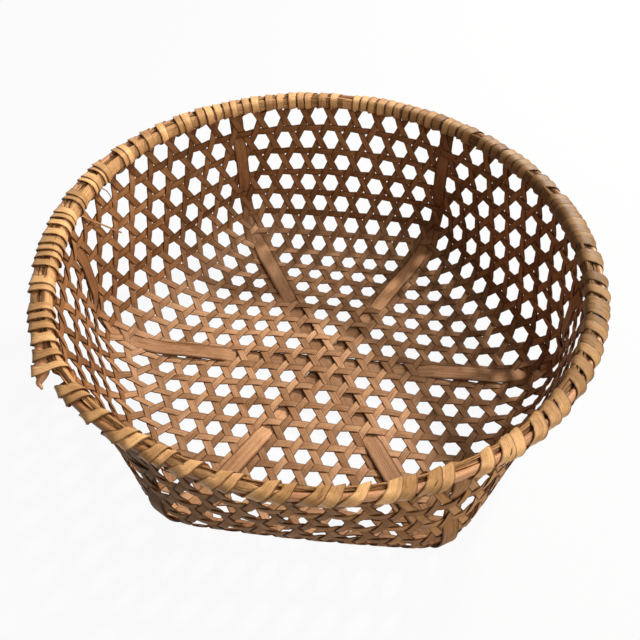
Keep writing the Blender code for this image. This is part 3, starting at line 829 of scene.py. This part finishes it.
def band_points(centre, outward, width, thickness, crown, tilt):
    """Points of a flat band along a line: its middle lifted by the crown, and one edge by the tilt."""
    tangent = unit(np.gradient(centre, axis=0))
    outward = unit(outward - tangent * dot(outward, tangent)[:, None])
    crosswise = np.cross(tangent, outward)
    lateral = width[:, None] * STRIP[:, 0]
    lift = STRIP[:, 1] * thickness + crown * (1 - (2 * STRIP[:, 0]) ** 2) + tilt * STRIP[:, 0]
    return centre[:, None] + crosswise[:, None] * lateral[..., None] + outward[:, None] * lift[..., None]


def make_leaf(number, cell, length, sizes, material):
    """A loosened bit of filler splint, arched up between two turns of the binding and narrow at both ends."""
    side = (cell + length / PITCH * np.linspace(-0.5, 0.5, LEAF_PLACES)) / SPLINTS_PER_SIDE
    arch = np.sin(math.pi * np.linspace(0, 1, LEAF_PLACES))
    across = RIM_OUTER_EDGE + LEAF_FEET[0] + LEAF_ARCH[0] * arch
    up = RIM_HALF_HEIGHT + LEAF_FEET[1] + LEAF_ARCH[1] * arch
    centre = rim_place(side, across, up)
    normal, upward = rim_directions(side)
    outward = unit(upward + LEAF_LEAN * normal)
    width = LEAF_END_WIDTH + LEAF_SWELL * arch
    points = band_points(centre, outward, width, sizes.binding_thickness, LEAF_CROWN, 0.0)
    name = f"rim_leaf_{number + 1}"
    across_grain = STRIP[:, 0] * LEAF_GRAIN + number
    mesh = tube_mesh(name, points, travelled(centre) + number, across_grain, 0.0, STRIP_EDGE)
    return add_piece(name, mesh, material, "rim_filler", "rim_filler_cane")


def make_loose_strand(number, rings, sides, width, depth, material):
    """A thin strand that hangs loose inside the wall, past places given by their ring and side numbers."""
    knots = np.linspace(0, 1, len(rings))
    t = np.linspace(0, 1, STRAND_PLACES)
    path = eased(np.stack([np.interp(t, knots, rings), np.interp(t, knots, sides)]), STRAND_EASING)
    points, along, across = strip_points(*path, width, STRAND_THICKNESS, lambda ring, side: depth)
    name = f"loose_strand_{number + 1}"
    mesh = tube_mesh(name, points, along + number, across + number, 0.0, STRIP_EDGE)
    return add_piece(name, mesh, material, "splint")


def turn_places():
    """Side numbers of the turns of the binding, in the order of winding, which is anticlockwise."""
    return np.array(TURN_CELLS)[::-1] / SPLINTS_PER_SIDE


def signed_power(value, power):
    """The size of the value raised to a power, with the value's sign."""
    return np.sign(value) * np.abs(value) ** power


def rim_turn(side, angle, looseness):
    """Place and outward direction on a boxy oval round the rim's section, for an angle round it.

    The oval is a superellipse: its half width times the cosine, and its half height times the sine, each
    raised to a power below one.
    """
    half_width = (RIM_OUTER_EDGE - RIM_INNER_EDGE) / 2
    middle = (RIM_OUTER_EDGE + RIM_INNER_EDGE) / 2
    x = signed_power(np.cos(angle), SECTION_POWER)
    y = signed_power(np.sin(angle), SECTION_POWER)
    centre = rim_place(side, middle + (half_width + looseness) * x, (RIM_HALF_HEIGHT + looseness) * y)
    normal, upward = rim_directions(side)
    out = signed_power(x, 2 / SECTION_POWER - 1) / half_width
    rise = signed_power(y, 2 / SECTION_POWER - 1) / RIM_HALF_HEIGHT
    return centre, unit(normal * out[:, None] + upward * rise[:, None])


def make_binding_splint(number, places, sizes, material):
    """One long flat splint wound round the rim, over it at one place after the other.

    Each turn starts under the rim, climbs the outer face while it slants to its place, crosses the top, goes
    straight down the inner face and moves on below to the start of the next. The slants ease out with the
    smooth ramp of the share of a turn that is done.
    """
    rng = np.random.default_rng(BINDING_SEED + number)
    turns = len(places) - 1
    t = np.linspace(0, turns, turns * TURN_PLACES + 1)
    whole = np.minimum(t.astype(int), turns - 1)
    share = t - whole
    shortest, longest = (cells / SPLINTS_PER_SIDE for cells in SLANT_CELLS)
    spacing = np.clip(np.abs(np.gradient(places)), shortest, longest)
    slant = spacing * rng.uniform(*SLANT_SPREAD, turns + 1)
    climbing = places[whole] + slant[whole] * (SLANT_START - smooth(share / CLIMB_END))
    start_of_next = places[whole + 1] + SLANT_START * slant[whole + 1]
    side = climbing + (start_of_next - climbing) * smooth((share - MOVE_ON_START) / MOVE_ON_SHARE)
    turn_numbers = np.arange(turns + 1)
    looseness = np.interp(t, turn_numbers, rng.uniform(0, LOOSENESS, turns + 1))
    centre, outward = rim_turn(side, -math.pi / 2 + math.tau * share, looseness)
    changes = rng.uniform(-BINDING_WIDTH_CHANGE, BINDING_WIDTH_CHANGE, turns + 1)
    width = sizes.binding_width * (1 + np.interp(t, turn_numbers, changes))
    nearness = -np.cos(math.tau * side / SIDES)
    width = width * (BINDING_MEAN_WIDTH + BINDING_NEAR_WIDENING * nearness)
    points = band_points(centre, outward, width, sizes.binding_thickness, BINDING_CROWN, BINDING_TILT)
    offset = rng.uniform(0, GRAIN_SPREAD)
    name = f"rim_binding_{number + 1}"
    across = STRIP[:, 0] * sizes.binding_width + offset
    mesh = tube_mesh(name, points, travelled(centre) + offset, across, 0.0, STRIP_EDGE)
    return add_piece(name, mesh, material, "rim_binding", "rim_binding")


def add_node(tree, kind, inputs=None, **settings):
    """New node with its settings. Each input, by name or number, is linked to a socket or given a value."""
    node = tree.nodes.new(kind)
    for key, value in settings.items():
        setattr(node, key, value)
    for key, source in (inputs or {}).items():
        if isinstance(source, bpy.types.NodeSocket):
            tree.links.new(source, node.inputs[key])
        else:
            node.inputs[key].default_value = source
    return node


def noise(tree, vector, scale, detail, roughness, place):
    """Noise on the grain map, stretched by scale = (per metre along, per metre across)."""
    inputs = {"Vector": vector, "Scale": (*scale, 1), "Location": (place, place * 1.7, place)}
    mapping = add_node(tree, "ShaderNodeMapping", inputs)
    inputs = {"Vector": mapping.outputs["Vector"], "Scale": 1, "Detail": detail, "Roughness": roughness}
    return add_node(tree, "ShaderNodeTexNoise", inputs).outputs["Fac"]


def contrast(tree, value, span, result=(0.0, 1.0)):
    """Smooth ramp from one result to the other, as the value crosses the span."""
    low, high = span
    to_low, to_high = result
    inputs = {"Value": value, "From Min": low, "From Max": high, "To Min": to_low, "To Max": to_high}
    return add_node(tree, "ShaderNodeMapRange", inputs, interpolation_type="SMOOTHSTEP").outputs["Result"]


def mix_colour(tree, factor, first, second, blend="MIX"):
    """Mixes two colours, each a socket or four numbers, by a socket or a number."""
    inputs = {0: factor, 6: first, 7: second}
    return add_node(tree, "ShaderNodeMix", inputs, data_type="RGBA", blend_type=blend).outputs[2]


def tinted(tree, factor, colour, tint):
    """The colour, multiplied by the tint as far as the factor says."""
    return mix_colour(tree, factor, colour, tint, "MULTIPLY")


def to_far_right(tree, x, y, far_share):
    """x plus a share of y, which grows towards the far right of the basket."""
    return add_node(tree, "ShaderNodeMath", {0: y, 1: far_share, 2: x}, operation="MULTIPLY_ADD").outputs[0]


def shade_base_edge(tree, place, colour):
    """The colour, with painted shade round the edge of the base, where it meets the wall."""
    flat = add_node(tree, "ShaderNodeVectorMath", {0: place, 1: (1, 1, 0)}, operation="MULTIPLY")
    radius = add_node(tree, "ShaderNodeVectorMath", {0: flat.outputs[0]}, operation="LENGTH")
    # Painted shade round the edge of the base
    return tinted(tree, contrast(tree, radius.outputs["Value"], BASE_EDGE_SHADE_SPAN), colour, BASE_EDGE_SHADE_TINT)


def inner_face(tree, place, colour, wall_colour, rim_shade, woven):
    """Colour of an inner face, from the base's to the wall's with the height.

    The base's colour has a painted shadow towards the far right. The wall's colour, partly the splints' own
    and partly painted shade, has painted shade towards the far right as far as the given share says. A woven
    piece has painted shade round the edge of the base and painted light on the right wall.
    """
    x, y, z = add_node(tree, "ShaderNodeSeparateXYZ", {0: place}).outputs
    # Painted shadow towards the far right of the base
    painted_shadow = contrast(tree, to_far_right(tree, x, y, FAR_RIGHT_SHADOW_SHARE), FAR_RIGHT_SHADOW_SPAN)
    low = tinted(tree, painted_shadow, colour, FAR_RIGHT_SHADOW_TINT)
    # Painted shade on the rim towards the far right, as far as the given share says
    far_right = to_far_right(tree, x, y, RIM_SHADE_FAR_SHARE)
    high_shade = contrast(tree, far_right, RIM_SHADE_SPAN, (0, rim_shade))
    high = tinted(tree, high_shade, wall_colour, RIM_SHADE_TINT)
    height = contrast(tree, z, WALL_SPAN)
    if not woven:
        return mix_colour(tree, height, low, high)
    # The base's colour goes to the wall's, which is partly the splints' own colour and partly painted shade
    patina_and_shade = mix_colour(tree, height, shade_base_edge(tree, place, low), high)
    # Painted light on the right wall
    return tinted(tree, contrast(tree, x, RIGHT_WALL_LIGHT_SPAN), patina_and_shade, RIGHT_WALL_LIGHT_TINT)


def outer_face(tree, place, grain, colour):
    """Colour of an outer face: worn in places, and from dark at the left to light at the right, as painted
    shade and painted light.
    """
    x = add_node(tree, "ShaderNodeSeparateXYZ", {0: place}).outputs["X"]
    wear = contrast(tree, noise(tree, grain, *WEAR), WEAR_SPAN, (0, WEAR_STRENGTH))
    # Painted shade at the left of the outer faces and painted light at the right
    painted_side_light = mix_colour(tree, contrast(tree, x, OUTSIDE_SPAN), OUTSIDE_LEFT_SHADE_TINT, OUTSIDE_RIGHT_LIGHT_TINT)
    return tinted(tree, 1.0, mix_colour(tree, wear, colour, WORN_COLOUR), painted_side_light)


def bamboo_material(name, colour, outer_colour, wall_colour, streak, roughness, bump,
                    tone_scale=5, gloss=0.12, rim_shade=0.0, woven=True):
    """Split bamboo: slow changes of tone, blotches, threads, specks, fine fibres and dark edges.

    Colour is the mean of the inner face on the base, and wall_colour, partly the splints' own colour and
    partly painted shade, is what it turns to up the wall. Each layer of noise on the grain map darkens the
    colour where the noise is high. Streak is the strength of the threads.
    """
    material = bpy.data.materials.new(name)
    material.use_nodes = True
    tree = material.node_tree
    grain = add_node(tree, "ShaderNodeUVMap", uv_map="grain").outputs["UV"]
    place = add_node(tree, "ShaderNodeTexCoord").outputs["Object"]
    outer = add_node(tree, "ShaderNodeAttribute", attribute_name="outer").outputs["Fac"]
    edge = add_node(tree, "ShaderNodeAttribute", attribute_name="edge").outputs["Fac"]
    inside = inner_face(tree, place, colour, wall_colour, rim_shade, woven)
    tint = mix_colour(tree, outer, inside, outer_face(tree, place, grain, outer_colour))
    tone = noise(tree, grain, (tone_scale, TONE_ACROSS), *TONE)
    # Slow random tone, whose pale side is partly a painted sheen
    tint = tinted(tree, 1.0, tint, mix_colour(tree, contrast(tree, tone, TONE_SPAN), *TONE_AND_SHEEN_TINTS))
    threads = noise(tree, grain, *THREADS)
    layers = (
        (noise(tree, grain, *BLOTCHES), BLOTCH_SPAN, BLOTCH_STRENGTH),
        (threads, THREAD_SPAN, streak),
        (noise(tree, grain, *SPECKS), SPECK_SPAN, SPECK_STRENGTH),
    )
    for layer, span, strength in layers:
        tint = tinted(tree, contrast(tree, layer, span, (0, strength)), tint, DARK_TINT)
    fibres = noise(tree, grain, *FIBRES)
    tint = tinted(tree, 1.0, tint, mix_colour(tree, contrast(tree, fibres, FIBRE_SPAN), *FIBRE_TINTS))
    # Dark edges: partly dirt on the split edges and partly painted shade on the side faces and on slats under
    # the weave
    tint = tinted(tree, contrast(tree, edge, EDGE_DIRT_AND_SHADE_SPAN, (0, EDGE_DIRT_AND_SHADE)), tint, EDGE_DIRT_AND_SHADE_TINT)
    relief = add_node(tree, "ShaderNodeBump", {
        "Strength": bump, "Distance": FIBRE_RELIEF, "Height": mix_colour(tree, 0.5, fibres, threads)})
    shader = tree.nodes["Principled BSDF"]
    shader.inputs["Specular IOR Level"].default_value = gloss
    dullness = contrast(tree, fibres, GLOSS_SPAN, [roughness + change for change in GLOSS_CHANGES])
    tree.links.new(tint, shader.inputs["Base Color"])
    tree.links.new(dullness, shader.inputs["Roughness"])
    tree.links.new(relief.outputs["Normal"], shader.inputs["Normal"])
    return material


def linear(red, green, blue):
    """Linear colour of a display colour given in parts of 255."""
    parts = np.array([red, green, blue]) / 255
    return (*np.where(parts <= 0.04045, parts / 12.92, ((parts + 0.055) / 1.055) ** 2.4), 1.0)


def metres(label, text, default):
    """A property that holds a size in metres."""
    return FloatProperty(name=label, description=text, default=default, subtype="DISTANCE", unit="LENGTH")


def part_lost(label, text, default):
    """A property that holds the share of its width that a strip loses."""
    return FloatProperty(name=label, description=text, default=default, subtype="FACTOR", min=0, max=0.5)


def bamboo_colour(label, text, *display):
    """A property that holds a colour, with its default as a display colour in parts of 255."""
    default = linear(*display)
    return FloatVectorProperty(name=label, description=text, default=default, subtype="COLOR", size=4)


class BasketSizes(bpy.types.PropertyGroup):
    splint_width: metres("Splint width", "Width of a splint of the weave", 0.0081)
    splint_thickness: metres("Splint thickness", "Thickness of splints and hoops", 0.0011)
    splint_taper: part_lost("Splint taper", "Share of its width that a splint loses up the wall", 0.06)
    splint_wander: metres("Splint wander", "How far a splint strays from its line", 0.0006)
    weave_amplitude: metres("Weave depth", "How far a strip rises and dips at its crossings", 0.0007)
    hoop_width: metres("Hoop width", "Width of the hoops round the wall", 0.0078)
    slat_width: metres("Slat width", "Width of the three slats", 0.0190)
    slat_thickness: metres("Slat thickness", "Thickness of the three slats", 0.0014)
    slat_taper: part_lost("Slat taper", "Share of its width that a slat loses on the wall", 0.16)
    slat_bow: metres("Slat bow", "How far a slat stands off the base between its crossings", 0.0022)
    outer_cane_thickness: metres("Outer cane", "Thickness of the rim's outer cane", 0.0066)
    outer_cane_height: metres("Outer cane height", "Height of the rim's outer cane", 0.0085)
    inner_cane_thickness: metres("Inner cane", "Thickness of the rim's inner cane", 0.0032)
    cane_height: metres("Inner cane height", "Height of the rim's inner cane", 0.0148)
    binding_width: metres("Binding width", "Width of the splint wound round the rim", 0.0106)
    binding_thickness: metres("Binding thickness", "Thickness of the splint wound round the rim", 0.0008)
    filler_splints: IntProperty(
        name="Filler splints", description="Splints bundled on top of the rim", default=7, min=2)


class BasketColours(bpy.types.PropertyGroup):
    splint: bamboo_colour("Splints", "Inner face of the splints on the base", 203, 155, 113)
    # The wall's colour is partly the splints' own and partly painted shade
    wall: bamboo_colour("Wall", "Inner face of splints and hoops on the wall", 162, 112, 70)
    outside: bamboo_colour("Outside", "Outer face of splints, slats and hoops", 174, 126, 76)
    slat: bamboo_colour("Slats", "Slats of the base", 206, 158, 116)
    cane: bamboo_colour("Outer cane", "Outer cane of the rim, and loose strands", 200, 144, 98)
    filler: bamboo_colour("Rim filler", "Thin splints on top of the rim, and its inner cane", 212, 162, 108)
    binding: bamboo_colour("Binding", "Splints wound round the rim", 237, 184, 123)


class BASKET_OT_splints(bpy.types.Operator):
    """Weave the 54 splints of the base and the wall"""
    bl_idname = "basket.make_splints"
    bl_label = "Splints"

    def execute(self, context):
        sizes = context.scene.basket_sizes
        colours = context.scene.basket_colours
        material = bamboo_material(
            "splint bamboo", colours.splint, colours.outside, colours.wall,
            streak=0.6, roughness=0.6, bump=0.5)
        for number in range(SPLINTS_PER_SIDE):
            for direction in range(SIDES):
                ending = f"{'abcdef'[direction]}{number + 1}"
                node = f"splint_{ending}"
                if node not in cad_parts:
                    node = f"edge_splints_{number + 1}_{'north' if direction < SIDES / 2 else 'south'}"
                make_splint(f"woven_splint_{ending}", direction, number + 0.5, sizes, material, node)
        return {"FINISHED"}


class BASKET_OT_slats(bpy.types.Operator):
    """Lay the three slats from corner to corner"""
    bl_idname = "basket.make_slats"
    bl_label = "Slats"

    def execute(self, context):
        sizes = context.scene.basket_sizes
        colours = context.scene.basket_colours
        for name, corner, order, shift, painted_brightness in SLATS:
            # Each slat's brightness is painted light and shade
            lit_colour = tuple(part * painted_brightness for part in colours.slat[:3]) + (1.0,)
            material = bamboo_material(
                f"{name} bamboo", lit_colour, colours.outside, colours.wall,
                streak=0.7, roughness=0.6, bump=0.6)
            make_slat(name, corner, order, shift, sizes, material)
        return {"FINISHED"}


class BASKET_OT_hoops(bpy.types.Operator):
    """Weave the five hoops round the wall"""
    bl_idname = "basket.make_hoops"
    bl_label = "Hoops"

    def execute(self, context):
        colours = context.scene.basket_colours
        material = bamboo_material(
            "hoop bamboo", colours.wall, colours.outside, colours.wall,
            streak=0.6, roughness=0.6, bump=0.5)
        for number in range(HOOP_COUNT):
            make_hoop(number, context.scene.basket_sizes, material)
        return {"FINISHED"}


class BASKET_OT_rim(bpy.types.Operator):
    """Make the two canes of the rim, the thin splints between them, and the loosened bits"""
    bl_idname = "basket.make_rim"
    bl_label = "Rim"

    def execute(self, context):
        sizes = context.scene.basket_sizes
        colours = context.scene.basket_colours
        cane = bamboo_material(
            "rim cane bamboo", *[colours.cane] * 3,
            streak=0.8, roughness=0.42, bump=0.5, gloss=0.3, woven=False)
        filler = bamboo_material(
            "rim filler bamboo", *[colours.filler] * 3,
            streak=0.9, roughness=0.6, bump=0.8, rim_shade=1.0, woven=False)
        make_inner_cane(sizes, filler)
        make_outer_cane(sizes, cane)
        rng = np.random.default_rng(FILLER_SIZES_SEED)
        for number in range(sizes.filler_splints):
            share = (number + 0.5) / sizes.filler_splints
            width = rng.uniform(*FILLER_WIDTHS)
            make_filler_splint(number, share, width, rng.uniform(*FILLER_TILTS), sizes, filler)
        for number, (cell, length) in enumerate(LEAVES):
            make_leaf(number, cell, length, sizes, filler)
        for number, (rings, sides, width, depth) in enumerate(LOOSE_STRANDS):
            make_loose_strand(number, rings, sides, width, depth, cane)
        return {"FINISHED"}


class BASKET_OT_binding(bpy.types.Operator):
    """Wind the binding splints round the rim"""
    bl_idname = "basket.make_binding"
    bl_label = "Binding"

    def execute(self, context):
        colours = context.scene.basket_colours
        material = bamboo_material(
            "binding bamboo", *[colours.binding] * 3,
            streak=0.5, roughness=0.45, bump=0.6, tone_scale=16, gloss=0.18, rim_shade=1.0, woven=False)
        places = turn_places()
        cuts = np.linspace(0, len(places) - 1, BINDING_SPLINTS + 1).astype(int)
        for number, (first, last) in enumerate(zip(cuts[:-1], cuts[1:])):
            make_binding_splint(number, places[first:last + 1], context.scene.basket_sizes, material)
        return {"FINISHED"}


def shown_white(tree, lit, white_kind, share, output):
    """Mixes a share of plain white into what is lit, for camera, glossy and transmission rays alone."""
    path = add_node(tree, "ShaderNodeLightPath")
    seen = path.outputs["Is Camera Ray"]
    for ray in ("Is Glossy Ray", "Is Transmission Ray"):
        either = add_node(tree, "ShaderNodeMath", {0: seen, 1: path.outputs[ray]}, operation="MAXIMUM")
        seen = either.outputs[0]
    part = add_node(tree, "ShaderNodeMath", {0: seen, 1: share}, operation="MULTIPLY")
    white = add_node(tree, white_kind, {"Color": WHITE, "Strength": 1})
    mix = add_node(tree, "ShaderNodeMixShader", {0: part.outputs[0], 1: lit.outputs[0], 2: white.outputs[0]})
    tree.links.new(mix.outputs[0], tree.nodes[output].inputs["Surface"])


def white_floor_material():
    """White floor that keeps a faint shadow: part of it is shown as plain white to the camera."""
    material = bpy.data.materials.new("floor white")
    material.use_nodes = True
    tree = material.node_tree
    shader = tree.nodes["Principled BSDF"]
    shader.inputs["Base Color"].default_value = FLOOR_COLOUR
    shader.inputs["Roughness"].default_value = FLOOR_ROUGHNESS
    shader.inputs["Specular IOR Level"].default_value = 0
    shown_white(tree, shader, "ShaderNodeEmission", FLOOR_SHOWN_WHITE, "Material Output")
    return material


def make_floor():
    """Square white floor at the height of the basket's underside."""
    corners = [(x * FLOOR_SIZE / 2, y * FLOOR_SIZE / 2, 0) for x, y in ((-1, -1), (1, -1), (1, 1), (-1, 1))]
    mesh = bpy.data.meshes.new("floor")
    mesh.from_pydata(corners, [], [(0, 1, 2, 3)])
    floor = bpy.data.objects.new("floor", mesh)
    mesh.materials.append(white_floor_material())
    bpy.context.scene.collection.objects.link(floor)


def make_world():
    """Dim, even light from all sides, which shows as plain white behind the floor."""
    world = bpy.data.worlds.new("studio")
    world.use_nodes = True
    lit = world.node_tree.nodes["Background"]
    lit.inputs["Color"].default_value = WORLD_COLOUR
    lit.inputs["Strength"].default_value = WORLD_STRENGTH
    shown_white(world.node_tree, lit, "ShaderNodeBackground", 1.0, "World Output")
    bpy.context.scene.world = world


def add_lamp(name, place, aim, size, power, colour):
    """Round soft lamp that points at its aim."""
    data = bpy.data.lights.new(name, "AREA")
    data.shape = "DISK"
    data.size = size
    data.energy = power
    data.color = colour
    lamp = bpy.data.objects.new(name, data)
    lamp.location = place
    lamp.rotation_euler = (Vector(aim) - Vector(place)).to_track_quat("-Z", "Y").to_euler()
    bpy.context.scene.collection.objects.link(lamp)


def add_camera():
    """Camera at the photograph's place, with its angle of view."""
    data = bpy.data.cameras.new("camera")
    data.sensor_width = CAMERA_SENSOR
    data.lens = CAMERA_LENS
    camera = bpy.data.objects.new("camera", data)
    camera.location = CAMERA_PLACE
    camera.rotation_euler = Euler([math.radians(angle) for angle in CAMERA_TURN], "XYZ")
    bpy.context.scene.collection.objects.link(camera)
    bpy.context.scene.camera = camera


class BASKET_OT_stage(bpy.types.Operator):
    """Set up the white floor, the soft lights and the camera"""
    bl_idname = "basket.make_stage"
    bl_label = "Stage"

    def execute(self, context):
        make_floor()
        make_world()
        for lamp in LAMPS:
            add_lamp(*lamp)
        add_camera()
        context.scene.view_settings.view_transform = "Standard"
        return {"FINISHED"}


OPERATORS = (
    BASKET_OT_splints, BASKET_OT_slats, BASKET_OT_hoops, BASKET_OT_rim, BASKET_OT_binding, BASKET_OT_stage,
)


class BASKET_PT_panel(bpy.types.Panel):
    """Sizes, colours and pieces of the harvest basket"""
    bl_idname = "BASKET_PT_panel"
    bl_label = "Harvest Basket"
    bl_space_type = "VIEW_3D"
    bl_region_type = "UI"
    bl_category = "Basket"

    def draw(self, context):
        layout = self.layout
        for group in (context.scene.basket_sizes, context.scene.basket_colours):
            for name in group.__annotations__:
                layout.prop(group, name)
        for operator in OPERATORS:
            layout.operator(operator.bl_idname)


CLASSES = (BasketSizes, BasketColours, *OPERATORS, BASKET_PT_panel)


def register():
    for each in CLASSES:
        bpy.utils.register_class(each)
    bpy.types.Scene.basket_sizes = PointerProperty(type=BasketSizes)
    bpy.types.Scene.basket_colours = PointerProperty(type=BasketColours)


def unregister():
    del bpy.types.Scene.basket_colours
    del bpy.types.Scene.basket_sizes
    for each in reversed(CLASSES):
        bpy.utils.unregister_class(each)


def main():
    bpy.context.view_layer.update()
    register()
    bpy.ops.basket.make_splints()
    bpy.ops.basket.make_slats()
    bpy.ops.basket.make_hoops()
    bpy.ops.basket.make_rim()
    bpy.ops.basket.make_binding()
    bpy.ops.basket.make_stage()


if __name__ == "__main__":
    main()
